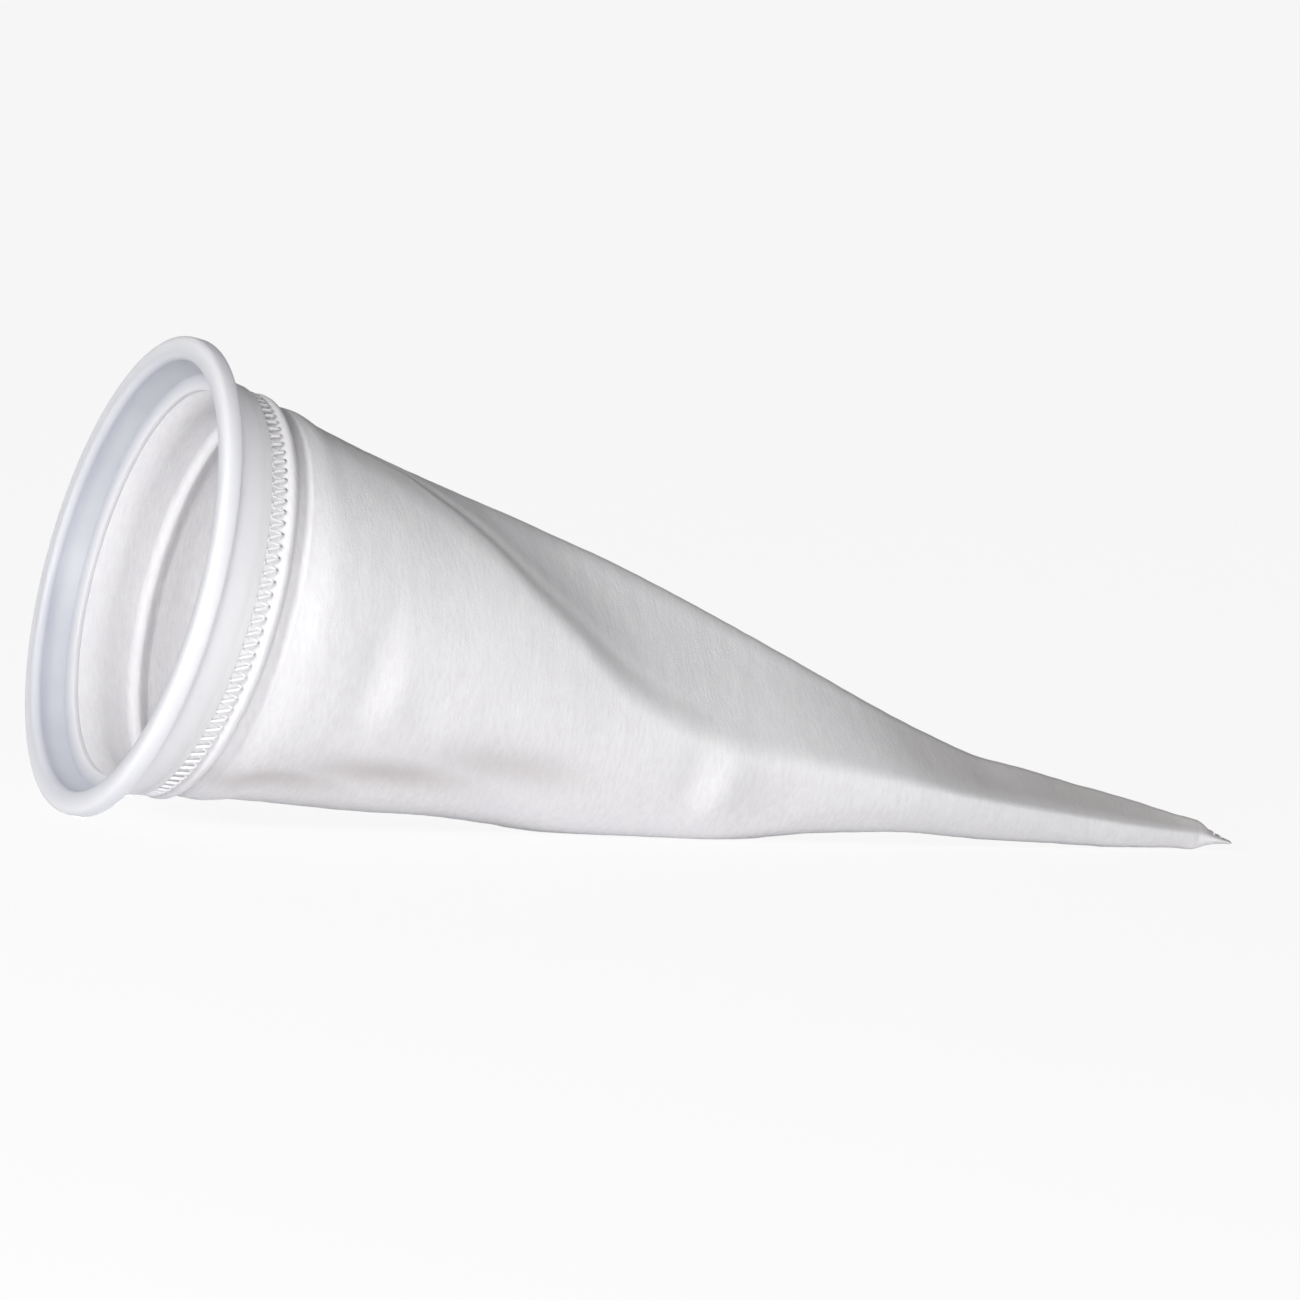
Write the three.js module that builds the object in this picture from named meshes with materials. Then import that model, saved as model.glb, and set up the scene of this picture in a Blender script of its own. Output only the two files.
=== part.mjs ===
// A liquid filter bag: a felt cone sewn to a moulded plastic collar, lying on its side.
// The mouth faces -X, the point lies towards +X, +Z is up and the ground is z = 0. Millimetres.
import * as THREE from "three";

// Pose: the lip and the belly both touch the ground, and the soft cone droops a little from the collar
const lipRadius = 90;
const lipDepth = 7;
const lipRound = 2.2;
const collarTilt = THREE.MathUtils.degToRad(12);
const coneTilt = THREE.MathUtils.degToRad(10.7);
const bendPlace = 36;
const bendLength = 40;
const lipContact = lipDepth - lipRound;
const collarHeight = lipRadius * Math.cos(collarTilt) + lipContact * Math.sin(collarTilt);

// Clearance between separate pieces
const seatGap = 0.3;

// Collar, measured along the axis from the front of the lip
const lipWidth = 8.5;
const lipInnerRadius = lipRadius - lipWidth;
const seatWidth = 8.4;
const neckRadius = lipRadius - seatWidth;
const neckTaper = 4;
const skirtEnd = 24;
const skirtRadius = neckRadius - neckTaper;
const skirtWall = 1.9;
const neckWall = 3.4;
const throatRadius = neckRadius - neckWall;
const ledgeFront = 12.5;
const ledgeThickness = 2;
const ledgeBack = ledgeFront + ledgeThickness;
const ledgeWidth = 3.3;
const ledgeRadius = skirtRadius - skirtWall - ledgeWidth;
const collarSegments = 72;

// Felt
const feltThickness = 2.2;
const feltStart = ledgeBack + seatGap;
const tuckRadius = skirtRadius - skirtWall - seatGap;
const bandStep = 0.6;
const bandRadius = tuckRadius - bandStep;
const bandStart = skirtEnd - 1;
const bandWidth = 6.6;
const bandEnd = skirtEnd + bandWidth;
const hemRise = 1.6;
const hemRadius = bandRadius + hemRise;
const hemMiddle = bandEnd + 2.4;
const grooveMiddle = hemMiddle + 4;
const grooveDepth = 2.6;
const grooveRadius = bandRadius - grooveDepth;
const coneStart = grooveMiddle + 5;
const coneStartRadius = grooveRadius + 1.4;
const coneGirthRadius = coneStartRadius + 1.6;
const shoulderLength = 16;
const bagLength = 457;
const pinchLength = 15;
const pinchStart = bagLength - pinchLength;
const pinchRadius = 6.2;
const pinchHalfThickness = 1;
const boreEnd = pinchStart - 14;
const feltSegments = 60;

// Overlock thread round the seam between the skirt and the felt
const threadHeight = 1.1;
const threadReach = 1.0;
const threadStitches = 100;

// Sagging cone: how far the felt has sunk in from the round cone, at its top and its underside.
// The underside is pressed out below the round cone where the value is negative.
const stations = [
  { at: coneStart, top: 2.2, under: 1.2 },
  { at: 60, top: 2.1, under: 1.7 },
  { at: 100, top: 2.2, under: 0.2 },
  { at: 150, top: 2.1, under: -2 },
  { at: 200, top: 3.9, under: -6.8 },
  { at: 240, top: 6.5, under: -6.8 },
  { at: 275, top: 9.4, under: -2.4 },
  { at: 310, top: 12.6, under: 1 },
  { at: 335, top: 13.9, under: 1.3 },
  { at: 360, top: 11.7, under: 0.3 },
  { at: 400, top: 6.6, under: -0.6 },
  { at: pinchStart - 8, top: 1.8, under: 0.2 },
  { at: pinchStart + 1, top: 1.2, under: 0.8 },
  { at: pinchStart + 7, top: 4.4, under: 3.8 },
  { at: bagLength, top: pinchRadius - pinchHalfThickness, under: pinchRadius - pinchHalfThickness },
];

// Slack facet on the upper front, where the unsupported felt has fallen in between two soft creases.
// Its lower crease runs from the top at the hem down to the middle of the side.
const facetStations = [
  { at: coneStart, cut: -0.06, facing: 80 },
  { at: 90, cut: 0, facing: 78 },
  { at: 120, cut: 0.05, facing: 70 },
  { at: 140, cut: 0.1, facing: 62 },
  { at: 160, cut: 0.16, facing: 54 },
  { at: 180, cut: 0.21, facing: 42 },
  { at: 220, cut: 0.235, facing: 40 },
  { at: 300, cut: 0.22, facing: 39 },
  { at: 380, cut: 0.15, facing: 34 },
  { at: bagLength, cut: 0, facing: 30 },
];
const facetBlend = 0.06;

// Soft dents and bumps of the felt: place along the axis, angle from the front side, size and depth
const dents = [
  { at: 79, angle: -8, length: 8, width: 24, depth: 1.6 },
  { at: 90, angle: -17, length: 9, width: 14, depth: -1.5 },
  { at: 62, angle: -58, length: 24, width: 9, depth: 2.2 },
  { at: 104, angle: -47, length: 26, width: 9, depth: 2.2 },
  { at: 150, angle: -34, length: 28, width: 10, depth: 1.8 },
  { at: 236, angle: -25, length: 9, width: 13, depth: -1.3 },
  { at: 262, angle: -30, length: 16, width: 14, depth: 1.2 },
  { at: 350, angle: 75, length: 12, width: 26, depth: 1.2 },
  { at: 150, angle: 150, length: 60, width: 20, depth: 2 },
];

// Side seam of the cone, on the far side
const seamAngle = THREE.MathUtils.degToRad(160);
const seamHalfWidth = 3.5;
const seamHeight = 1.2;

const smooth = (t) => t * t * (3 - 2 * t);
const degrees = THREE.MathUtils.degToRad;

// Value of one field of a station list at a place along the axis, straight between stations
function along(list, field, place) {
  const last = list.length - 1;
  const next = list.findIndex((row) => row.at >= place);
  if (next <= 0) {
    return next === 0 ? list[0][field] : list[last][field];
  }
  const t = (place - list[next - 1].at) / (list[next].at - list[next - 1].at);
  return THREE.MathUtils.lerp(list[next - 1][field], list[next][field], t);
}

// The same on a smooth curve through the stations
function smoothAlong(list, field, place) {
  const last = list.length - 1;
  const held = Math.min(Math.max(place, list[0].at), list[last].at);
  const next = Math.max(list.findIndex((row) => row.at >= held), 1);
  const slope = (i) => {
    const a = Math.max(i - 1, 0);
    const b = Math.min(i + 1, last);
    return (list[b][field] - list[a][field]) / (list[b].at - list[a].at);
  };
  const from = list[next - 1];
  const to = list[next];
  const span = to.at - from.at;
  const t = (held - from.at) / span;
  const ease = smooth(t);
  const leave = t * (1 - t) * (1 - t) * span * slope(next - 1);
  const arrive = t * t * (t - 1) * span * slope(next);
  return from[field] * (1 - ease) + to[field] * ease + leave + arrive;
}

// Radius of a whole round cone, whose girth the sagging felt keeps
function girthRadius(place) {
  const t = (place - coneStart) / (pinchStart - coneStart);
  return THREE.MathUtils.lerp(coneGirthRadius, pinchRadius, Math.min(Math.max(t, 0), 1));
}

// Half height of the sagging section, and how far its middle lies above the axis
function halfHeight(place) {
  const above = girthRadius(place) - smoothAlong(stations, "top", place);
  const below = girthRadius(place) - smoothAlong(stations, "under", place);
  return { half: (above + below) / 2, middle: (above - below) / 2 };
}

// Half width of the sagging section: what the felt loses in height it gains in width
function halfWidth(place, half) {
  const girth = girthRadius(place);
  const wide = Math.sqrt(Math.max(2 * girth * girth - half * half, 0));
  return place > pinchStart ? pinchRadius * 0.95 : Math.max(wide, pinchRadius);
}

function softMinimum(a, b, blend) {
  const h = Math.max(blend - Math.abs(a - b), 0) / blend;
  return Math.min(a, b) - (h * h * blend) / 4;
}

// Share of the full section that is left under the slack facet, in a direction from its middle
function facetShare(place, angle) {
  const toward = Math.cos(angle - degrees(smoothAlong(facetStations, "facing", place)));
  const cut = smoothAlong(facetStations, "cut", place);
  const flat = toward > 0.15 ? (1 - cut) / toward : Infinity;
  return softMinimum(1, flat, facetBlend);
}

function dentDepth(place, angle, radius) {
  let depth = 0;
  for (const dent of dents) {
    let turn = angle - degrees(dent.angle);
    turn = Math.atan2(Math.sin(turn), Math.cos(turn));
    const across = (turn * radius) / dent.width;
    const down = (place - dent.at) / dent.length;
    depth += dent.depth * Math.exp(-across * across - down * down);
  }
  return depth;
}

function seamRise(place, angle, radius) {
  const across = Math.abs(angle - seamAngle) * radius;
  const fade = smooth(Math.min(Math.max((place - bandEnd) / 12, 0), 1));
  const end = smooth(Math.min(Math.max((pinchStart - place) / 40, 0), 1));
  return across < seamHalfWidth ? seamHeight * fade * end : 0;
}

// Radius of the felt's outside where it is round: tuck, stitched band, hem roll and groove
function roundRadius(place) {
  const rows = [
    { at: feltStart, r: tuckRadius },
    { at: bandStart, r: tuckRadius },
    { at: skirtEnd, r: bandRadius },
    { at: bandEnd, r: bandRadius },
    { at: hemMiddle - 1.2, r: hemRadius - 0.3 },
    { at: hemMiddle + 0.6, r: hemRadius },
    { at: grooveMiddle - 1.6, r: hemRadius - 1.4 },
    { at: grooveMiddle, r: grooveRadius },
    { at: grooveMiddle + 1.6, r: grooveRadius + 0.4 },
    { at: coneStart, r: coneStartRadius },
  ];
  return along(rows, "r", place);
}

// Middle line of the bag: through the collar, then drooping along the cone
function middleLine(place) {
  const inCollar = Math.min(place, bendPlace);
  const inCone = Math.max(place - bendPlace, 0);
  const x = inCollar * Math.cos(collarTilt) + inCone * Math.cos(coneTilt);
  const z = collarHeight - inCollar * Math.sin(collarTilt) - inCone * Math.sin(coneTilt);
  const t = smooth(Math.min(Math.max((place - bendPlace) / bendLength, 0), 1));
  return { x, z, tilt: THREE.MathUtils.lerp(collarTilt, coneTilt, t) };
}

// Point of the part, from a place along the middle line and an offset to the front and upwards
function pointAt(place, front, up, lowest) {
  const line = middleLine(place);
  const x = line.x + up * Math.sin(line.tilt);
  const z = line.z + up * Math.cos(line.tilt);
  return new THREE.Vector3(x, -front, Math.max(z, lowest));
}

function roundPoint(place, angle, radius) {
  return pointAt(place, radius * Math.cos(angle), radius * Math.sin(angle), 0);
}

// Point of the felt, at a depth under its outside. Angle 0 is the front side (-Y), 90 degrees is the top.
function feltPoint(place, angle, depth) {
  const girth = girthRadius(place);
  const seam = depth > 0 ? 0 : seamRise(place, angle, girth);
  const hollow = depth > 0 && place > skirtEnd && place < grooveMiddle;
  const round = (hollow ? Math.min(roundRadius(place), bandRadius) : roundRadius(place)) - depth + seam;
  if (place <= coneStart) {
    return roundPoint(place, angle, round);
  }
  const { half, middle } = halfHeight(place);
  const fade = Math.min(girth / 30, 1);
  const inward = depth - seam + dentDepth(place, angle, girth) * fade;
  const share = facetShare(place, angle);
  const front = (halfWidth(place, half) * share - inward) * Math.cos(angle);
  const up = middle + (half * share - inward) * Math.sin(angle);
  const start = smooth(Math.min((place - coneStart) / shoulderLength, 1));
  const full = coneStartRadius - depth + seam;
  const across = THREE.MathUtils.lerp(full * Math.cos(angle), front, start);
  const height = THREE.MathUtils.lerp(full * Math.sin(angle), up, start);
  return pointAt(place, across, height, depth);
}

// Closed solid from rings of points with the same count, each joined to the next
function solidFromRings(rings, closesOnItself) {
  const count = rings[0].length;
  const positions = rings.flat().flatMap((p) => [p.x, p.y, p.z]);
  const faces = [];
  const joins = closesOnItself ? rings.length : rings.length - 1;
  for (let i = 0; i < joins; i++) {
    const here = i * count;
    const next = ((i + 1) % rings.length) * count;
    for (let j = 0; j < count; j++) {
      const k = (j + 1) % count;
      faces.push(here + j, next + k, here + k, here + j, next + j, next + k);
    }
  }
  if (!closesOnItself) {
    for (const end of [0, rings.length - 1]) {
      const middle = new THREE.Vector3();
      rings[end].forEach((p) => middle.add(p));
      middle.divideScalar(count);
      const centre = positions.length / 3;
      positions.push(middle.x, middle.y, middle.z);
      for (let j = 0; j < count; j++) {
        const a = end * count + j;
        const b = end * count + ((j + 1) % count);
        faces.push(...(end === 0 ? [centre, a, b] : [centre, b, a]));
      }
    }
  }
  const geometry = new THREE.BufferGeometry();
  geometry.setAttribute("position", new THREE.Float32BufferAttribute(positions, 3));
  geometry.setIndex(faces);
  geometry.computeVertexNormals();
  return geometry;
}

function feltAngles() {
  const angles = [];
  for (let j = 0; j < feltSegments; j++) {
    angles.push((j / feltSegments) * 2 * Math.PI);
  }
  return angles;
}

// Felt bag: up the inside from the bore's end to the top edge, then down the outside to the pinched point
function feltBag() {
  const angles = feltAngles();
  const ring = (place, depth) => angles.map((angle) => feltPoint(place, angle, depth));
  const insidePlaces = [422, 408, 388, 364, 338, 310, 280, 250, 220, 190, 160, 130, 100, 76, 58];
  const insideRound = [coneStart + 4, coneStart, grooveMiddle + 1, grooveMiddle - 2, hemMiddle - 3];
  const outsideRound = [bandStart, skirtEnd, bandEnd, hemMiddle - 1.2, hemMiddle + 0.6];
  const outsideNeck = [grooveMiddle - 1.6, grooveMiddle, grooveMiddle + 1.6, coneStart, 47, 54, 62];
  const outsideCone = [72, 84, 98, 114, 130, 148, 166, 184, 202, 220, 238, 256, 274, 292, 308, 322];
  const outsideNose = [336, 348, 360, 376, 394, 412];
  const outsidePinch = [pinchStart - 14, pinchStart - 4, pinchStart + 1, pinchStart + 7, bagLength];
  const rings = [];
  for (const place of [boreEnd, ...insidePlaces, ...insideRound, feltStart]) {
    rings.push(ring(place, feltThickness));
  }
  const outside = [...outsideRound, ...outsideNeck, ...outsideCone, ...outsideNose, ...outsidePinch];
  for (const place of [feltStart, ...outside]) {
    rings.push(ring(place, 0));
  }
  return solidFromRings(rings, false);
}

// Collar: rounded lip with a flat seat behind it, tapering neck, inner ledge and skirt
function collarProfile() {
  const corner = (centreRadius, centrePlace, from, to) => {
    const points = [];
    for (let i = 0; i <= 3; i++) {
      const turn = THREE.MathUtils.degToRad(THREE.MathUtils.lerp(from, to, i / 3));
      const radius = centreRadius + lipRound * Math.cos(turn);
      points.push(new THREE.Vector2(radius, centrePlace + lipRound * Math.sin(turn)));
    }
    return points;
  };
  const profile = [
    ...corner(lipInnerRadius + lipRound, lipRound, 180, 270),
    ...corner(lipRadius - lipRound, lipRound, 270, 360),
    ...corner(lipRadius - lipRound, lipDepth - lipRound, 0, 90),
    new THREE.Vector2(neckRadius, lipDepth),
    new THREE.Vector2(skirtRadius + 0.4, skirtEnd - 3),
    new THREE.Vector2(skirtRadius, skirtEnd),
    new THREE.Vector2(skirtRadius - skirtWall, skirtEnd),
    new THREE.Vector2(skirtRadius - skirtWall, ledgeBack),
    new THREE.Vector2(ledgeRadius, ledgeBack),
    new THREE.Vector2(ledgeRadius, ledgeFront),
    new THREE.Vector2(throatRadius, ledgeFront - 1),
  ];
  profile.push(profile[0].clone());
  return profile;
}

function collar() {
  const geometry = new THREE.LatheGeometry(collarProfile(), collarSegments);
  // The lathe turns about +Y: it is laid over to +X, front towards -X, and tilted
  geometry.rotateZ(-Math.PI / 2);
  geometry.rotateY(collarTilt);
  geometry.translate(0, 0, collarHeight);
  return geometry;
}

// One closed zigzag of thread: each stitch runs from the skirt's edge to the hem and back
function seamThread() {
  const middle = (skirtEnd + seatGap + bandEnd) / 2;
  const swing = (bandEnd - skirtEnd - seatGap) / 2 - threadReach;
  const inside = bandRadius + seatGap;
  const rings = [];
  const steps = threadStitches * 2;
  for (let i = 0; i < steps; i++) {
    const angle = (i / steps) * 2 * Math.PI;
    const place = middle + (i % 2 === 0 ? -swing : swing);
    rings.push([
      roundPoint(place, angle, inside),
      roundPoint(place + threadReach, angle, inside + threadHeight / 2),
      roundPoint(place, angle, inside + threadHeight),
      roundPoint(place - threadReach, angle, inside + threadHeight / 2),
    ]);
  }
  return solidFromRings(rings, true);
}

function piece(name, geometry, colour, roughness) {
  const material = new THREE.MeshStandardMaterial({ color: colour, roughness, metalness: 0 });
  const mesh = new THREE.Mesh(geometry, material);
  mesh.name = name;
  return mesh;
}

// The origin is the middle of the whole part's footprint, on the ground
const bag = new THREE.Group();
bag.add(piece("collar", collar(), 0xe4e4ea, 0.35));
bag.add(piece("felt_bag", feltBag(), 0xe6e5e4, 0.95));
bag.add(piece("seam_thread", seamThread(), 0xf2f2f2, 0.8));
const extent = new THREE.Box3().setFromObject(bag);
const middle = extent.getCenter(new THREE.Vector3());
for (const mesh of bag.children) {
  mesh.position.set(-middle.x, -middle.y, 0);
}
const group = new THREE.Group();
group.add(bag);
export default group;
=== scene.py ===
# A liquid filter bag: a felt cone sewn to a milky plastic collar, lying empty on its side.
import math

import bpy
import numpy as np
from mathutils import Matrix, Vector, noise


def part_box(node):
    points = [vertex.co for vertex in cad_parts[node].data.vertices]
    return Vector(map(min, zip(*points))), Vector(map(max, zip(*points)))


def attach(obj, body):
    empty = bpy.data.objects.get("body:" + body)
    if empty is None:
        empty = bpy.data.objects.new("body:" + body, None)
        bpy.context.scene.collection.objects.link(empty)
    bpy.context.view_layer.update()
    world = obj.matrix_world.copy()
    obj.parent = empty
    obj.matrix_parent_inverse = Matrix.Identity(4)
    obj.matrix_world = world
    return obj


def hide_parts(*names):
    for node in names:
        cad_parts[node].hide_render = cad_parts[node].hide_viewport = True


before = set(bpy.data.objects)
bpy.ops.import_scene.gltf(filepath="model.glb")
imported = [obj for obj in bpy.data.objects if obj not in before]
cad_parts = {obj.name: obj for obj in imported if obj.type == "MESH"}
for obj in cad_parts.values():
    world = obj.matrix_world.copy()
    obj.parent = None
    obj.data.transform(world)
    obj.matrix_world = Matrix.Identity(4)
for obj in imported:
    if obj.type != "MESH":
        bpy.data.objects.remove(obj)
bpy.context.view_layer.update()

# Lengths below are millimetres along the bag's axis from the front of the lip, or radii about it
MM = 0.001

# Pose
LIP_RADIUS = 90.0
LIP_DEPTH = 7.0
LIP_ROUND = 2.2
COLLAR_TILT = math.radians(12)
CONE_TILT = math.radians(10.7)
BEND_PLACE = 36.0
BEND_LENGTH = 40.0
LIP_CONTACT = LIP_DEPTH - LIP_ROUND
COLLAR_HEIGHT = LIP_RADIUS * math.cos(COLLAR_TILT) + LIP_CONTACT * math.sin(COLLAR_TILT)
LIP_REACH = (LIP_RADIUS - LIP_ROUND) * math.sin(COLLAR_TILT) + LIP_ROUND * (1 - math.cos(COLLAR_TILT))
LIP_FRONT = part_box("collar")[0][0] / MM + LIP_REACH

# Collar
LIP_INNER_RADIUS = LIP_RADIUS - 8.5
NECK_RADIUS = LIP_RADIUS - 8.4
SKIRT_END = 24.0
SKIRT_RADIUS = NECK_RADIUS - 4
SKIRT_WALL = 1.9
THROAT_RADIUS = NECK_RADIUS - 3.4
LEDGE_FRONT = 12.5
LEDGE_BACK = 14.5
LEDGE_RADIUS = SKIRT_RADIUS - SKIRT_WALL - 3.3
COLLAR_TURNS = 320
CORNER_STEPS = 7

# Section of the collar: radius, place and rounding of each corner, and how light its painted tone is
# there, from painted shade in the throat to painted light on the neck and skirt
COLLAR_CORNERS = [
    (LIP_INNER_RADIUS, 0, 2.2, 0.45),
    (LIP_RADIUS, 0, 2.4, 0.85),
    (LIP_RADIUS, LIP_DEPTH, 1.8, 0.7),
    (NECK_RADIUS, LIP_DEPTH, 0.7, 0.8),
    (SKIRT_RADIUS + 0.4, SKIRT_END - 3, 1.0, 0.95),
    (SKIRT_RADIUS, SKIRT_END, 0.45, 1.0),
    (SKIRT_RADIUS - SKIRT_WALL, SKIRT_END, 0.35, 1.0),
    (SKIRT_RADIUS - SKIRT_WALL, LEDGE_BACK, 0.3, 0.8),
    (LEDGE_RADIUS, LEDGE_BACK, 0.5, 0.7),
    (LEDGE_RADIUS, LEDGE_FRONT, 0.5, 0.8),
    (THROAT_RADIUS, LEDGE_FRONT - 1, 0.7, 0.0),
    (LIP_INNER_RADIUS - 0.4, 3.4, 1.2, 0.0),
]

# Felt
SEAT_GAP = 0.3
FELT_THICKNESS = 2.2
FELT_START = LEDGE_BACK + SEAT_GAP
TUCK_RADIUS = SKIRT_RADIUS - SKIRT_WALL - SEAT_GAP
BAND_RADIUS = TUCK_RADIUS - 0.6
BAND_END = SKIRT_END + 6.6
HEM_RADIUS = BAND_RADIUS + 1.6
HEM_MIDDLE = BAND_END + 2.4
GROOVE_MIDDLE = HEM_MIDDLE + 4
GROOVE_RADIUS = BAND_RADIUS - 2.6
CONE_START = GROOVE_MIDDLE + 5
CONE_START_RADIUS = GROOVE_RADIUS + 1.4
CONE_GIRTH_RADIUS = CONE_START_RADIUS + 1.6
SHOULDER_LENGTH = 16.0
BAG_LENGTH = 457.0
PINCH_START = BAG_LENGTH - 15
PINCH_RADIUS = 6.2
PINCH_HALF_THICKNESS = 1.0
PINCH_WIDTH_SHARE = 0.95
BORE_END = PINCH_START - 14
FELT_TURNS = 256

# Outside of the felt where it is round, from the tuck to the groove: place and radius
ROUND_PART = [
    (FELT_START, TUCK_RADIUS),
    (SKIRT_END - 1, TUCK_RADIUS),
    (SKIRT_END, BAND_RADIUS),
    (BAND_END - 0.6, BAND_RADIUS),
    (BAND_END + 0.4, BAND_RADIUS + 0.7),
    (HEM_MIDDLE - 1.2, HEM_RADIUS - 0.2),
    (HEM_MIDDLE, HEM_RADIUS + 0.1),
    (HEM_MIDDLE + 1.2, HEM_RADIUS - 0.2),
    (GROOVE_MIDDLE - 1.7, HEM_RADIUS - 1.3),
    (GROOVE_MIDDLE - 0.6, GROOVE_RADIUS),
    (GROOVE_MIDDLE, GROOVE_RADIUS - 0.6),
    (GROOVE_MIDDLE + 1.4, GROOVE_RADIUS - 0.4),
    (GROOVE_MIDDLE + 3.4, GROOVE_RADIUS + 0.5),
    (CONE_START, CONE_START_RADIUS),
]

# Sagging cone: place, and how far the felt has sunk in from the round cone at its top and underside
SAG = [
    (CONE_START, 2.2, 1.2),
    (60, 2.1, 1.7),
    (100, 2.2, 0.2),
    (150, 2.1, -2.0),
    (200, 3.9, -6.8),
    (240, 6.5, -6.8),
    (275, 9.4, -2.4),
    (310, 12.0, 1.0),
    (335, 12.9, 1.3),
    (360, 10.7, 0.3),
    (400, 5.9, -0.6),
    (PINCH_START - 8, 1.8, 0.2),
    (PINCH_START, 0.5, 0.0),
    (PINCH_START + 3, 1.1, 0.8),
    (PINCH_START + 6, 2.7, 2.4),
    (PINCH_START + 10, 4.2, 4.1),
    (BAG_LENGTH, PINCH_RADIUS - PINCH_HALF_THICKNESS, PINCH_RADIUS - PINCH_HALF_THICKNESS),
]

# Slack facet on the upper front: place, share cut from the section, and the angle that it faces
FACET = [
    (CONE_START, -0.06, 80),
    (90, 0.0, 78),
    (120, 0.05, 70),
    (140, 0.1, 62),
    (160, 0.15, 56),
    (180, 0.19, 49),
    (200, 0.215, 44),
    (230, 0.235, 40),
    (290, 0.24, 41),
    (330, 0.29, 47),
    (380, 0.31, 50),
    (425, 0.28, 48),
    (BAG_LENGTH, 0.0, 30),
]
FACET_BLEND = 0.1
FACET_LEAST_COSINE = 0.15
FACET_UNCUT = 9.0

# Crease along the facet's lower border: height above it, half width, depth, and where it fades out
CREASE = [
    (8, 6, 0.75, 170, 260),
    (-3, 5, -0.25, 230, 380),
]
CREASE_START = 44
CREASE_FULL = 84
LEAST_CUT = 0.0005

# Soft dents and bumps: place, angle from the front side, length, width, depth and how much painted shade
# darkens it
DENTS = [
    (79, -8, 8, 24, 1.6, 0),
    (90, -17, 9, 14, -1.5, 0),
    (62, -58, 28, 9, 2.2, 0.5),
    (104, -48, 32, 9, 2.2, 0.55),
    (150, -35, 36, 10, 1.8, 0.35),
    (222, -20, 6, 14, 0.9, 0),
    (236, -25, 8, 13, -1.8, 0),
    (258, -30, 14, 14, 1.5, 0.1),
    (350, 75, 12, 26, 1.2, 0),
    (150, 150, 60, 20, 2, 0),
]
DENT_FULL_GIRTH = 30

# Painted shade on the upper side near the point
TOP_SHADE_START = 270
TOP_SHADE_FULL = 390
TOP_SHADE_PAINT = 0.5

# Unevenness of the felt: how close the waves stand, per metre, and how high they are
SWELL_CLOSENESS = 28
SWELL_HEIGHT = 0.75
GRAIN_CLOSENESS = (190, 60, 60)
GRAIN_HEIGHT = 0.16

# Side seam, on the far side
SEAM_ANGLE = math.radians(160)
SEAM_HALF_WIDTH = 3.5
SEAM_HEIGHT = 1.2
SEAM_EDGE = 0.9
SEAM_START = BAND_END + 2
SEAM_FULL = BAND_END + 14
SEAM_FADE = PINCH_START - 40

# Overlock thread round the seam between the skirt and the felt
THREAD_RADIUS = 0.62
THREAD_GAP = 0.1
THREAD_SIDES = 7
STITCHES = 105
STITCH_STEPS = 16
STROKE_SHARE = 0.6
STROKE_TURN = 0.75
STROKE_LIFT = 0.35
LOOP_DIP = 1.2

# Lock stitches of the side seam and the point
STITCH_RADIUS = 0.35
STITCH_SIDES = 6
STITCH_POINTS = 6
STITCH_LENGTH = 2.8
STITCH_SPACING = 3.7
STITCH_DIP = 0.5
ROW_OFFSETS = (-1.7, 1.7)
POINT_ROWS = (PINCH_START + 8, PINCH_START + 11)
POINT_STITCH_TURN = 13
POINT_STITCH_SPACING = 18
POINT_STITCH_LIFT = 0.1
POINT_DIP_SHARE = 0.4

# Stage
FLOOR_REACH = 60
FLOOR_GLOW = 0.9
WORLD_STRENGTH = 0.22

# Lamps: name, position and target in metres, size in metres and power in watts
LAMPS = [
    ("key", (-1.2, -2.2, 0.25), (0, 0, 0.05), 0.6, 19),
    ("mouth", (-2.2, -1.2, 1.0), (-0.1, 0, 0.08), 0.7, 37),
    ("table", (0.5, -2.0, -0.6), (0, 0, 0.05), 0.9, 13),
    ("back", (0.6, 2.3, -0.35), (0, 0, 0.05), 0.5, 24),
]

# Camera
CAMERA_AZIMUTH = math.radians(-21.69)
CAMERA_ELEVATION = math.radians(5)
CAMERA_ROLL = math.radians(4.11)
CAMERA_DISTANCE = 4.0
CAMERA_TARGET = (-0.00714, 0, 0.0683)
SENSOR_WIDTH = 36
IMAGE_WIDTH = 1300
FOCAL_LENGTH_PIXELS = 10759.5


def smooth(t):
    return t * t * (3 - 2 * t)


def ramp(value, start, end):
    return smooth(np.clip((value - start) / (end - start), 0, 1))


# Value of one column of a station list on a smooth curve through its rows
def curve(rows, column, place):
    at = np.array([row[0] for row in rows], dtype=float)
    value = np.array([row[column] for row in rows], dtype=float)
    slope = np.empty_like(value)
    slope[1:-1] = (value[2:] - value[:-2]) / (at[2:] - at[:-2])
    slope[0] = (value[1] - value[0]) / (at[1] - at[0])
    slope[-1] = (value[-1] - value[-2]) / (at[-1] - at[-2])
    held = np.clip(place, at[0], at[-1])
    after = np.clip(np.searchsorted(at, held), 1, len(at) - 1)
    span = at[after] - at[after - 1]
    t = (held - at[after - 1]) / span
    ease = smooth(t)
    leave = t * (1 - t) ** 2 * span * slope[after - 1]
    arrive = t * t * (t - 1) * span * slope[after]
    return value[after - 1] * (1 - ease) + value[after] * ease + leave + arrive


def girth_radius(place):
    t = np.clip((place - CONE_START) / (PINCH_START - CONE_START), 0, 1)
    return CONE_GIRTH_RADIUS + t * (PINCH_RADIUS - CONE_GIRTH_RADIUS)


# Half height of the sagging section, and how far its middle lies above the axis
def half_height(place):
    above = girth_radius(place) - curve(SAG, 1, place)
    below = girth_radius(place) - curve(SAG, 2, place)
    return (above + below) / 2, (above - below) / 2


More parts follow.
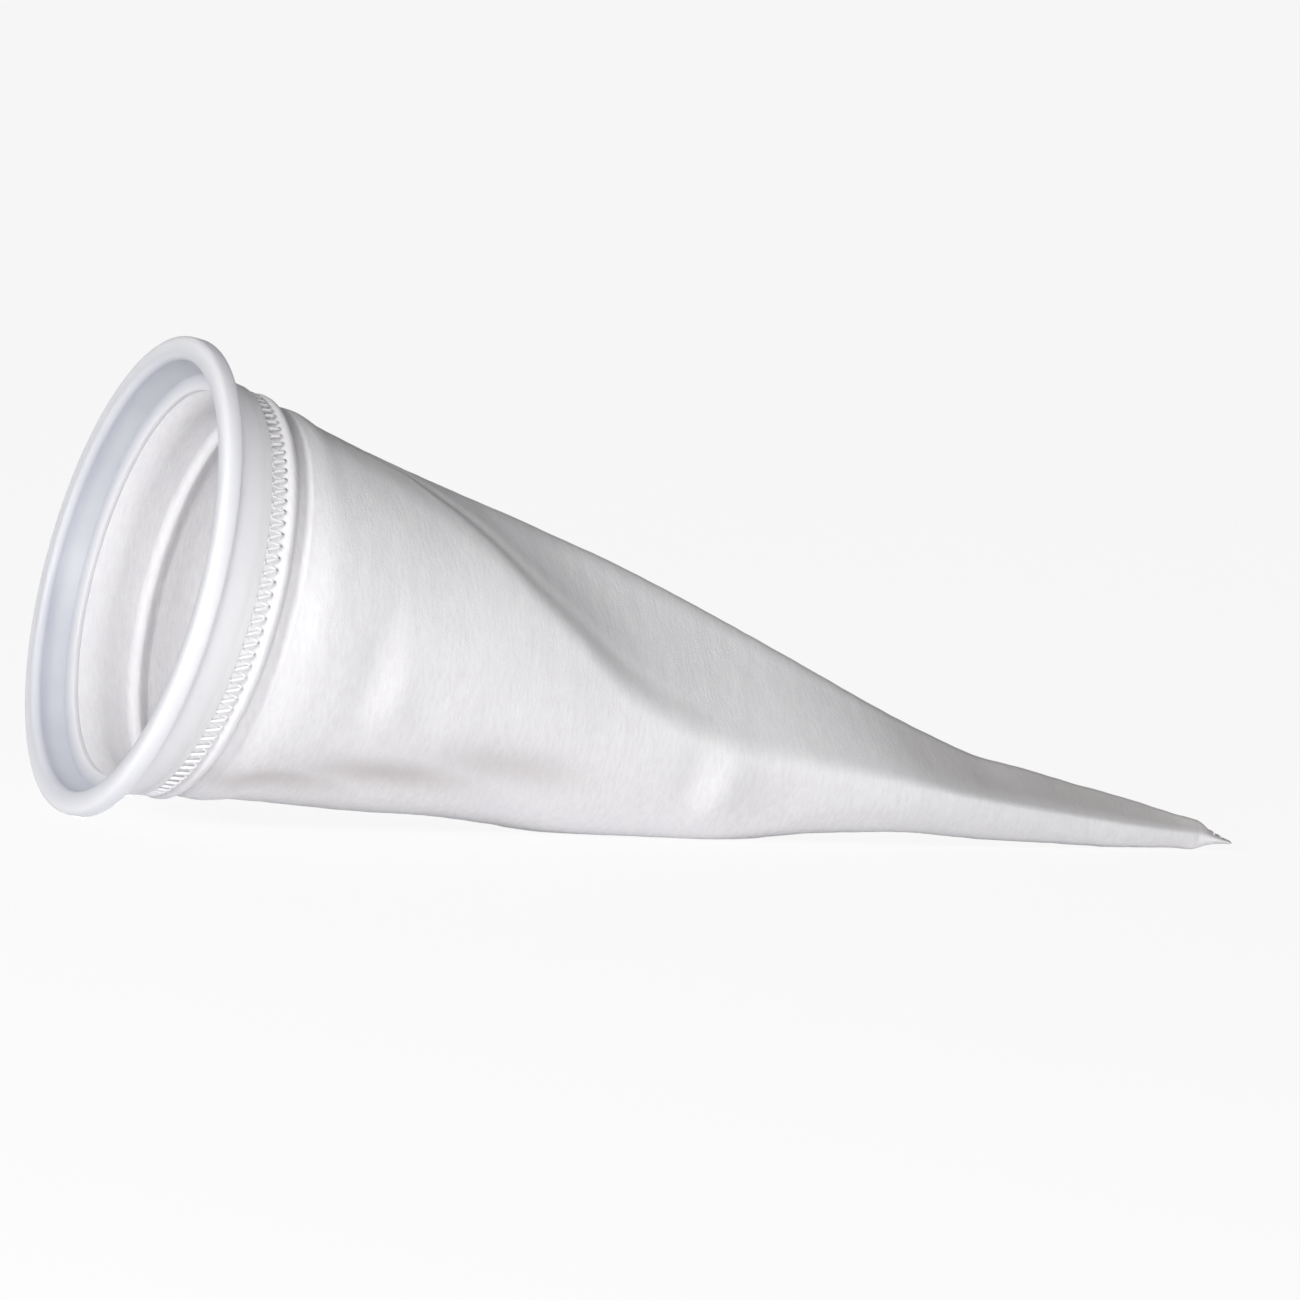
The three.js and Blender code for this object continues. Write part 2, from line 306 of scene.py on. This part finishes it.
def half_width(place, half):
    girth = girth_radius(place)
    wide = np.sqrt(np.maximum(2 * girth * girth - half * half, 0))
    wide = np.maximum(wide, PINCH_RADIUS)
    return np.where(place > PINCH_START, PINCH_RADIUS * PINCH_WIDTH_SHARE, wide)


# Share of the full section that is left under the slack facet, in a direction from its middle
def facet_share(place, angle):
    toward = np.cos(angle - np.radians(curve(FACET, 2, place)))
    cut = curve(FACET, 1, place)
    line = (1 - cut) / np.maximum(toward, FACET_LEAST_COSINE)
    flat = np.where(toward > FACET_LEAST_COSINE, line, FACET_UNCUT)
    h = np.maximum(FACET_BLEND - np.abs(1 - flat), 0) / FACET_BLEND
    return np.minimum(1, flat) - h * h * FACET_BLEND / 4


def turn_between(angle, middle):
    return np.arctan2(np.sin(angle - middle), np.cos(angle - middle))


# Depth of the dents at each point, and how much painted shade darkens them
def dent_depth(place, angle, radius):
    depth = np.zeros_like(place)
    painted_shade = np.zeros_like(place)
    for at, towards, length, width, deep, shade_paint in DENTS:
        across = turn_between(angle, math.radians(towards)) * radius / width
        down = (place - at) / length
        share = np.exp(-across * across - down * down)
        depth += deep * share
        painted_shade = np.maximum(painted_shade, shade_paint * share)
    return depth, painted_shade


# Lower border of the slack facet, as an angle from the front side
def crease_angle(place):
    cut = np.clip(curve(FACET, 1, place), LEAST_CUT, None)
    return np.radians(curve(FACET, 2, place)) - np.arccos(1 - cut)


# Soft valley just above the border of the slack facet, and the low ridge along it
def crease_depth(place, angle, radius):
    above = turn_between(angle, crease_angle(place)) * radius
    depth = np.zeros_like(place)
    for middle, half, deep, fade_start, fade_end in CREASE:
        across = np.exp(-((above - middle) / half) ** 2)
        depth += deep * (across * (1 - ramp(place, fade_start, fade_end)))
    return ramp(place, CREASE_START, CREASE_FULL) * depth


def seam_rise(place, angle, radius):
    across = np.abs(turn_between(angle, SEAM_ANGLE)) * radius
    edge = 1 - ramp(across, SEAM_HALF_WIDTH - SEAM_EDGE, SEAM_HALF_WIDTH + SEAM_EDGE / 2)
    ends = ramp(place, SEAM_START, SEAM_FULL) * (1 - ramp(place, SEAM_FADE, PINCH_START))
    return SEAM_HEIGHT * edge * ends


def round_radius(place):
    places, radii = zip(*ROUND_PART)
    return np.interp(place, places, radii)


# Points of the part in metres, from places along the middle line and offsets to the front and upwards
def points_at(place, front, up, lowest):
    in_collar = np.minimum(place, BEND_PLACE)
    in_cone = np.maximum(place - BEND_PLACE, 0)
    t = smooth(np.clip((place - BEND_PLACE) / BEND_LENGTH, 0, 1))
    tilt = COLLAR_TILT + t * (CONE_TILT - COLLAR_TILT)
    x = in_collar * math.cos(COLLAR_TILT) + in_cone * math.cos(CONE_TILT)
    z = COLLAR_HEIGHT - in_collar * math.sin(COLLAR_TILT) - in_cone * math.sin(CONE_TILT)
    height = np.maximum(z + up * np.cos(tilt), lowest)
    return np.stack([LIP_FRONT + x + up * np.sin(tilt), -front, height], axis=-1) * MM


def round_points(place, angle, radius):
    place = np.asarray(place, dtype=float)
    return points_at(place, radius * np.cos(angle), radius * np.sin(angle), 0)


# Points of the felt at a depth under its outside
def felt_points(place, angle, depth):
    girth = girth_radius(place)
    seam = seam_rise(place, angle, girth) if depth == 0 else np.zeros_like(place)
    radius = round_radius(place)
    if depth > 0:
        hollow = (place > SKIRT_END) & (place < GROOVE_MIDDLE)
        radius = np.where(hollow, np.minimum(radius, BAND_RADIUS), radius)
    full = radius - depth + seam
    half, middle = half_height(place)
    fade = np.minimum(girth / DENT_FULL_GIRTH, 1)
    dents = dent_depth(place, angle, girth)[0] + crease_depth(place, angle, girth)
    inward = depth - seam + dents * fade
    share = facet_share(place, angle)
    front = (half_width(place, half) * share - inward) * np.cos(angle)
    up = middle + (half * share - inward) * np.sin(angle)
    start = ramp(place, CONE_START, CONE_START + SHOULDER_LENGTH)
    shoulder = np.where(place <= CONE_START, full, CONE_START_RADIUS - depth + seam)
    front = shoulder * np.cos(angle) * (1 - start) + front * start
    up = shoulder * np.sin(angle) * (1 - start) + up * start
    return points_at(place, front, up, depth * (place > CONE_START))


# Adds one closed form to points and faces: rings of points with the same count, each joined to the next
def add_rings(points, faces, rings, closes_on_itself):
    count = rings.shape[1]
    first = len(points)
    points.extend(tuple(p) for p in rings.reshape(-1, 3))
    joins = len(rings) if closes_on_itself else len(rings) - 1
    for i in range(joins):
        here = first + i * count
        after = first + ((i + 1) % len(rings)) * count
        for j in range(count):
            k = (j + 1) % count
            faces.append((here + j, after + j, after + k, here + k))
    if closes_on_itself:
        return
    for end in (0, len(rings) - 1):
        centre = len(points)
        points.append(tuple(rings[end].mean(axis=0)))
        for j in range(count):
            a = first + end * count + j
            b = first + end * count + (j + 1) % count
            faces.append((centre, a, b) if end == 0 else (centre, b, a))


def mesh_from_rings(name, runs, closes_on_itself):
    points = []
    faces = []
    for rings in runs:
        add_rings(points, faces, rings, closes_on_itself)
    mesh = bpy.data.meshes.new(name)
    mesh.from_pydata(points, [], faces)
    mesh.shade_smooth()
    mesh.update()
    piece = bpy.data.objects.new(name, mesh)
    bpy.context.scene.collection.objects.link(piece)
    return piece


# A value for each point of a piece, which its material can read
def add_values(piece, name, values):
    attribute = piece.data.attributes.new(name, "FLOAT", "POINT")
    attribute.data.foreach_set("value", np.asarray(values, dtype=np.float32))


def finish_piece(piece, material):
    piece.data.materials.append(material)
    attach(piece, "root")
    return piece


def srgb(red, green, blue):
    def linear(value):
        c = value / 255
        return c / 12.92 if c <= 0.04045 else ((c + 0.055) / 1.055) ** 2.4
    return (linear(red), linear(green), linear(blue), 1)


# Small tools for node materials
def new_material(name):
    material = bpy.data.materials.new(name)
    material.use_nodes = True
    return material, material.node_tree, material.node_tree.nodes["Principled BSDF"]


def add_noise(tree, scale, detail, stretch=(1, 1, 1)):
    place = tree.nodes.new("ShaderNodeTexCoord")
    mapping = tree.nodes.new("ShaderNodeMapping")
    mapping.inputs["Scale"].default_value = stretch
    texture = tree.nodes.new("ShaderNodeTexNoise")
    texture.inputs["Scale"].default_value = scale
    texture.inputs["Detail"].default_value = detail
    tree.links.new(place.outputs["Object"], mapping.inputs["Vector"])
    tree.links.new(mapping.outputs["Vector"], texture.inputs["Vector"])
    return texture.outputs["Fac"]


def add_mix(tree, factor, first, second):
    mix = tree.nodes.new("ShaderNodeMix")
    mix.data_type = "RGBA"
    tree.links.new(factor, mix.inputs["Factor"])
    for socket, colour in ((mix.inputs["A"], first), (mix.inputs["B"], second)):
        if isinstance(colour, tuple):
            socket.default_value = colour
        else:
            tree.links.new(colour, socket)
    return mix.outputs["Result"]


def add_range(tree, value, low, high, to_low, to_high):
    node = tree.nodes.new("ShaderNodeMapRange")
    tree.links.new(value, node.inputs["Value"])
    node.inputs["From Min"].default_value = low
    node.inputs["From Max"].default_value = high
    node.inputs["To Min"].default_value = to_low
    node.inputs["To Max"].default_value = to_high
    return node.outputs["Result"]


def add_bump(tree, height, strength, distance, normal=None):
    bump = tree.nodes.new("ShaderNodeBump")
    bump.inputs["Strength"].default_value = strength
    bump.inputs["Distance"].default_value = distance
    tree.links.new(height, bump.inputs["Height"])
    if normal is not None:
        tree.links.new(normal, bump.inputs["Normal"])
    return bump.outputs["Normal"]


def add_attribute(tree, name):
    node = tree.nodes.new("ShaderNodeAttribute")
    node.attribute_name = name
    return node.outputs["Fac"]


# Needle felt: streaks of fibre round the bag, a fine fuzz, faint mottling, and a warm grey painted shade
# in the lower dents and on the upper side near the point
def felt_material():
    material, tree, shader = new_material("felt_white")
    streaks = add_noise(tree, 760, 4, (1, 0.26, 0.26))
    fuzz = add_noise(tree, 1500, 3)
    mottle = add_noise(tree, 38, 3)
    painted_shade = add_attribute(tree, "painted_shade")
    cloudy = srgb(229, 228, 230)
    clean = srgb(233, 232, 233)
    between_fibres = srgb(225, 223, 226)
    # Warm grey painted shade for the lower dents and the upper side near the point
    shade_paint = srgb(176, 168, 166)
    tone = add_mix(tree, add_range(tree, mottle, 0.35, 0.65, 0, 1), cloudy, clean)
    fibre = add_mix(tree, add_range(tree, streaks, 0.3, 0.65, 0, 1), between_fibres, tone)
    tree.links.new(add_mix(tree, painted_shade, fibre, shade_paint), shader.inputs["Base Color"])
    shader.inputs["Roughness"].default_value = 0.95
    shader.inputs["Specular IOR Level"].default_value = 0.2
    shader.inputs["Sheen Weight"].default_value = 0.08
    shader.inputs["Sheen Roughness"].default_value = 0.6
    shader.inputs["Subsurface Weight"].default_value = 0.3
    shader.inputs["Subsurface Radius"].default_value = (1.0, 0.98, 0.98)
    shader.inputs["Subsurface Scale"].default_value = 0.004
    rough = add_bump(tree, streaks, 0.2, 0.0006)
    tree.links.new(add_bump(tree, fuzz, 0.4, 0.0003, rough), shader.inputs["Normal"])
    return material


# Milky moulded polypropylene: light goes a little way in, satin gloss, faint flow marks, and a tone with
# painted shade in the throat and painted light on the neck and skirt
def plastic_material():
    material, tree, shader = new_material("collar_milky")
    cloud = add_noise(tree, 30, 3)
    waves = add_noise(tree, 110, 2)
    shaded_dark = srgb(186, 188, 197)
    shaded_pale = srgb(194, 196, 204)
    lit_colour = srgb(241, 241, 246)
    shaded_colour = add_mix(tree, add_range(tree, cloud, 0.35, 0.65, 0, 1), shaded_dark, shaded_pale)
    # Painted shade and light: darker in the throat, paler on the neck and skirt
    tone = add_mix(tree, add_attribute(tree, "lit_share"), shaded_colour, lit_colour)
    tree.links.new(tone, shader.inputs["Base Color"])
    tree.links.new(add_range(tree, waves, 0.3, 0.7, 0.4, 0.5), shader.inputs["Roughness"])
    shader.inputs["IOR"].default_value = 1.49
    shader.inputs["Subsurface Weight"].default_value = 0.7
    shader.inputs["Subsurface Radius"].default_value = (1.0, 1.0, 1.1)
    shader.inputs["Subsurface Scale"].default_value = 0.012
    tree.links.new(add_bump(tree, waves, 0.12, 0.0008), shader.inputs["Normal"])
    return material


# Sewing thread: dull white with a fine twist
def thread_material():
    material, tree, shader = new_material("thread_white")
    twist = add_noise(tree, 1100, 2)
    in_twist = srgb(222, 221, 224)
    on_strand = srgb(246, 246, 247)
    tone = add_mix(tree, twist, in_twist, on_strand)
    tree.links.new(tone, shader.inputs["Base Color"])
    shader.inputs["Roughness"].default_value = 0.7
    shader.inputs["Sheen Weight"].default_value = 0.1
    tree.links.new(add_bump(tree, twist, 0.4, 0.0003), shader.inputs["Normal"])
    return material


# Profile with rounded corners, and the painted light share of each of its points
def rounded_profile(corners):
    points = []
    lit_shares = []
    count = len(corners)
    for i, (radius, place, rounding, tone) in enumerate(corners):
        corner = Vector((radius, place))
        to_last = (Vector(corners[i - 1][:2]) - corner).normalized()
        to_next = (Vector(corners[(i + 1) % count][:2]) - corner).normalized()
        half = to_last.angle(to_next) / 2
        start = corner + to_last * (rounding / math.tan(half))
        end = corner + to_next * (rounding / math.tan(half))
        for step in range(CORNER_STEPS + 1):
            t = step / CORNER_STEPS
            points.append(start * (1 - t) ** 2 + corner * 2 * t * (1 - t) + end * t * t)
            lit_shares.append(tone)
    return points, lit_shares


def make_collar():
    profile, lit_shares = rounded_profile(COLLAR_CORNERS)
    angles = np.linspace(0, 2 * math.pi, COLLAR_TURNS, endpoint=False)
    place = np.array([p.y for p in profile])
    radius = np.array([p.x for p in profile])
    rings = [round_points(place, angle, radius) for angle in angles]
    piece = mesh_from_rings("collar_ring", [np.array(rings)], True)
    # The painted light share of each point, read by the collar's material
    add_values(piece, "lit_share", np.tile(lit_shares, COLLAR_TURNS))
    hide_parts("collar")
    return finish_piece(piece, plastic_material())


# Fine unevenness of the felt, as an outward distance in millimetres
def felt_unevenness(points, place):
    free = np.asarray(ramp(place, CONE_START, CONE_START + 12)).reshape(-1)
    rise = np.empty(len(points))
    for i, p in enumerate(points):
        at = Vector(p)
        swell = noise.noise(at * SWELL_CLOSENESS)
        grain = noise.noise(Vector([at[k] * GRAIN_CLOSENESS[k] for k in range(3)]))
        rise[i] = SWELL_HEIGHT * swell * free[i] + GRAIN_HEIGHT * grain
    return rise


# Points of the finished felt surface, lifted outward by a distance
def felt_surface(place, angle, depth, lift=0):
    points = felt_points(place, angle, depth)
    outward = np.stack([np.zeros_like(angle), -np.cos(angle), np.sin(angle)], axis=-1).reshape(-1, 3)
    flat = points.reshape(-1, 3)
    flat = flat + outward * ((felt_unevenness(flat, place) + lift) * MM)[:, None]
    flat[:, 2] = np.maximum(flat[:, 2], 0)
    return flat.reshape(points.shape)


# Places of the felt's rings of points: up the inside to the mouth, then down the outside to the point
def felt_rows():
    inside = np.concatenate([
        np.linspace(BORE_END, 60, 66),
        np.linspace(57, SKIRT_END + 1, 30),
        [FELT_START],
    ])
    outside = np.concatenate([
        [FELT_START, SKIRT_END - 1],
        np.linspace(SKIRT_END, 52, 60),
        np.linspace(54, PINCH_START - 2, 198),
        np.linspace(PINCH_START - 1, BAG_LENGTH, 18),
    ])
    return inside, outside


def make_felt():
    angles = np.linspace(0, 2 * math.pi, FELT_TURNS, endpoint=False)
    inside, outside = felt_rows()
    layers = []
    painted_shades = []
    for places, depth in ((inside, FELT_THICKNESS), (outside, 0)):
        place, angle = np.meshgrid(places, angles, indexing="ij")
        layers.append(felt_surface(place, angle, depth))
        girth = girth_radius(place)
        # Painted shade on the upper side near the point, growing towards the point and the top
        top_shade = TOP_SHADE_PAINT * ramp(place, TOP_SHADE_START, TOP_SHADE_FULL) * ramp(np.sin(angle), 0.0, 0.6)
        painted_shades.append(np.maximum(dent_depth(place, angle, girth)[1], top_shade).reshape(-1))
    piece = mesh_from_rings("felt_cone", [np.concatenate(layers)], False)
    # The painted shade of each point, read by the felt's material
    add_values(piece, "painted_shade", np.concatenate(painted_shades + [np.zeros(2)]))
    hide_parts("felt_bag")
    finish_piece(piece, felt_material())
    return piece


# Round tube along a closed or open path of points
def tube_rings(path, radius, sides, closed):
    path = np.asarray(path)
    ahead = np.roll(path, -1, axis=0)
    behind = np.roll(path, 1, axis=0)
    if not closed:
        ahead[-1] = path[-1]
        behind[0] = path[0]
    along = ahead - behind
    along /= np.linalg.norm(along, axis=1)[:, None]
    helper = np.where(np.abs(along[:, :1]) < 0.8, [[1.0, 0, 0]], [[0, 0.6, 0.8]])
    side = np.cross(along, helper)
    side /= np.linalg.norm(side, axis=1)[:, None]
    other = np.cross(side, along)
    rings = []
    for turn in np.linspace(0, 2 * math.pi, sides, endpoint=False):
        rings.append(path + radius * (math.cos(turn) * side + math.sin(turn) * other))
    return np.stack(rings, axis=1)


# Overlock seam: each stitch swings from the skirt's edge to the hem on a slant, with a small loop
def make_thread(material):
    turns = np.arange(STITCHES * STITCH_STEPS) / STITCH_STEPS
    swing = (BAND_END - SKIRT_END) / 2 - THREAD_RADIUS - THREAD_GAP
    middle = (SKIRT_END + BAND_END) / 2 + THREAD_GAP
    within = turns % 1
    stroke = np.clip(within / STROKE_SHARE, 0, 1)
    back = np.clip((within - STROKE_SHARE) / (1 - STROKE_SHARE), 0, 1)
    share = turns - within + STROKE_TURN * stroke + (1 - STROKE_TURN) * back
    angle = share / STITCHES * 2 * math.pi
    place = middle + swing * (2 * smooth(stroke) - 1 - 2 * smooth(back))
    dip = -LOOP_DIP * np.sin(math.pi * back)
    lift = STROKE_LIFT * np.sin(math.pi * stroke)
    above = np.where(back > 0, dip, lift)
    path = round_points(place, angle, BAND_RADIUS + THREAD_RADIUS + THREAD_GAP + above)
    rings = tube_rings(path, THREAD_RADIUS * MM, THREAD_SIDES, True)
    piece = mesh_from_rings("overlock_thread", [rings], True)
    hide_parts("seam_thread")
    return finish_piece(piece, material)


def stitch_rings(place, angle, lift):
    path = felt_surface(place, angle, 0, lift)
    return tube_rings(path, STITCH_RADIUS * MM, STITCH_SIDES, False)


# Two rows of lock stitches down the side seam, and two across the flattened point
def make_stitches(material):
    runs = []
    along = np.linspace(0, 1, STITCH_POINTS)
    sunk = -STITCH_DIP * np.abs(2 * along - 1) ** 3
    for start in np.arange(BAND_END + 12, PINCH_START - 34, STITCH_SPACING):
        place = start + STITCH_LENGTH * along
        for offset in ROW_OFFSETS:
            angle = SEAM_ANGLE + offset / girth_radius(place)
            runs.append(stitch_rings(place, angle, sunk + STITCH_RADIUS))
    for row in POINT_ROWS:
        place = np.full(STITCH_POINTS, float(row))
        for turn in range(45, 135, POINT_STITCH_SPACING):
            angle = np.radians(turn + POINT_STITCH_TURN * along)
            runs.append(stitch_rings(place, angle, POINT_DIP_SHARE * sunk + POINT_STITCH_LIFT))
    piece = mesh_from_rings("side_stitches", runs, False)
    return finish_piece(piece, material)


# Pale floor that is a light table: the lamps under it shine through, and it glows for the camera alone
def make_floor():
    mesh = bpy.data.meshes.new("floor")
    corners = [(x * FLOOR_REACH, y * FLOOR_REACH, 0) for x, y in ((-1, -1), (1, -1), (1, 1), (-1, 1))]
    mesh.from_pydata(corners, [], [(0, 1, 2, 3)])
    floor = bpy.data.objects.new("floor", mesh)
    bpy.context.scene.collection.objects.link(floor)
    material, tree, shader = new_material("floor_pale")
    shader.inputs["Base Color"].default_value = srgb(245, 245, 246)
    shader.inputs["Roughness"].default_value = 0.9
    glow = tree.nodes.new("ShaderNodeEmission")
    path = tree.nodes.new("ShaderNodeLightPath")
    share = tree.nodes.new("ShaderNodeMath")
    share.operation = "MULTIPLY"
    share.inputs[1].default_value = FLOOR_GLOW
    mix = tree.nodes.new("ShaderNodeMixShader")
    tree.links.new(path.outputs["Is Camera Ray"], share.inputs[0])
    tree.links.new(share.outputs["Value"], mix.inputs["Fac"])
    tree.links.new(shader.outputs["BSDF"], mix.inputs[1])
    tree.links.new(glow.outputs["Emission"], mix.inputs[2])
    tree.links.new(mix.outputs["Shader"], tree.nodes["Material Output"].inputs["Surface"])
    mesh.materials.append(material)
    floor.visible_shadow = False


# World: white where the camera sees it, a dim even grey as light
def make_world():
    world = bpy.data.worlds.new("studio")
    world.use_nodes = True
    bpy.context.scene.world = world
    tree = world.node_tree
    dim = tree.nodes["Background"]
    dim.inputs["Color"].default_value = (1, 1, 1, 1)
    dim.inputs["Strength"].default_value = WORLD_STRENGTH
    white = tree.nodes.new("ShaderNodeBackground")
    path = tree.nodes.new("ShaderNodeLightPath")
    mix = tree.nodes.new("ShaderNodeMixShader")
    tree.links.new(path.outputs["Is Camera Ray"], mix.inputs["Fac"])
    tree.links.new(dim.outputs["Background"], mix.inputs[1])
    tree.links.new(white.outputs["Background"], mix.inputs[2])
    tree.links.new(mix.outputs["Shader"], tree.nodes["World Output"].inputs["Surface"])


def make_lamp(name, position, target, size, power):
    lamp = bpy.data.lights.new(name, "AREA")
    lamp.shape = "DISK"
    lamp.size = size
    lamp.energy = power
    holder = bpy.data.objects.new(name, lamp)
    holder.location = position
    holder.rotation_euler = (Vector(target) - Vector(position)).to_track_quat("-Z", "Y").to_euler()
    bpy.context.scene.collection.objects.link(holder)
    return holder


# The milky lip is thin enough that a lamp shines through it onto the neck and hem
def shine_through(lamp, piece):
    blockers = bpy.data.collections.new("passed_by_" + lamp.name)
    blockers.objects.link(piece)
    blockers.collection_objects[0].light_linking.link_state = "EXCLUDE"
    lamp.light_linking.blocker_collection = blockers


def make_camera():
    sine, cosine = math.sin(CAMERA_AZIMUTH), math.cos(CAMERA_AZIMUTH)
    level = math.cos(CAMERA_ELEVATION)
    back = Vector((sine * level, -cosine * level, math.sin(CAMERA_ELEVATION)))
    right = Vector((cosine, sine, 0))
    up = back.cross(right)
    rolled_right = right * math.cos(CAMERA_ROLL) + up * math.sin(CAMERA_ROLL)
    rolled_up = up * math.cos(CAMERA_ROLL) - right * math.sin(CAMERA_ROLL)
    lens = bpy.data.cameras.new("camera")
    lens.sensor_width = SENSOR_WIDTH
    lens.lens = SENSOR_WIDTH * FOCAL_LENGTH_PIXELS / IMAGE_WIDTH
    lens.clip_end = 200
    camera = bpy.data.objects.new("camera", lens)
    turn = Matrix((rolled_right, rolled_up, back)).transposed().to_4x4()
    position = Vector(CAMERA_TARGET) + back * CAMERA_DISTANCE
    camera.matrix_world = Matrix.Translation(position) @ turn
    bpy.context.scene.collection.objects.link(camera)
    bpy.context.scene.camera = camera


make_camera()
make_floor()
make_world()
lamps = {row[0]: make_lamp(*row) for row in LAMPS}
shine_through(lamps["mouth"], make_collar())
make_felt()
thread = thread_material()
make_thread(thread)
make_stitches(thread)
bpy.context.scene.view_settings.view_transform = "Standard"

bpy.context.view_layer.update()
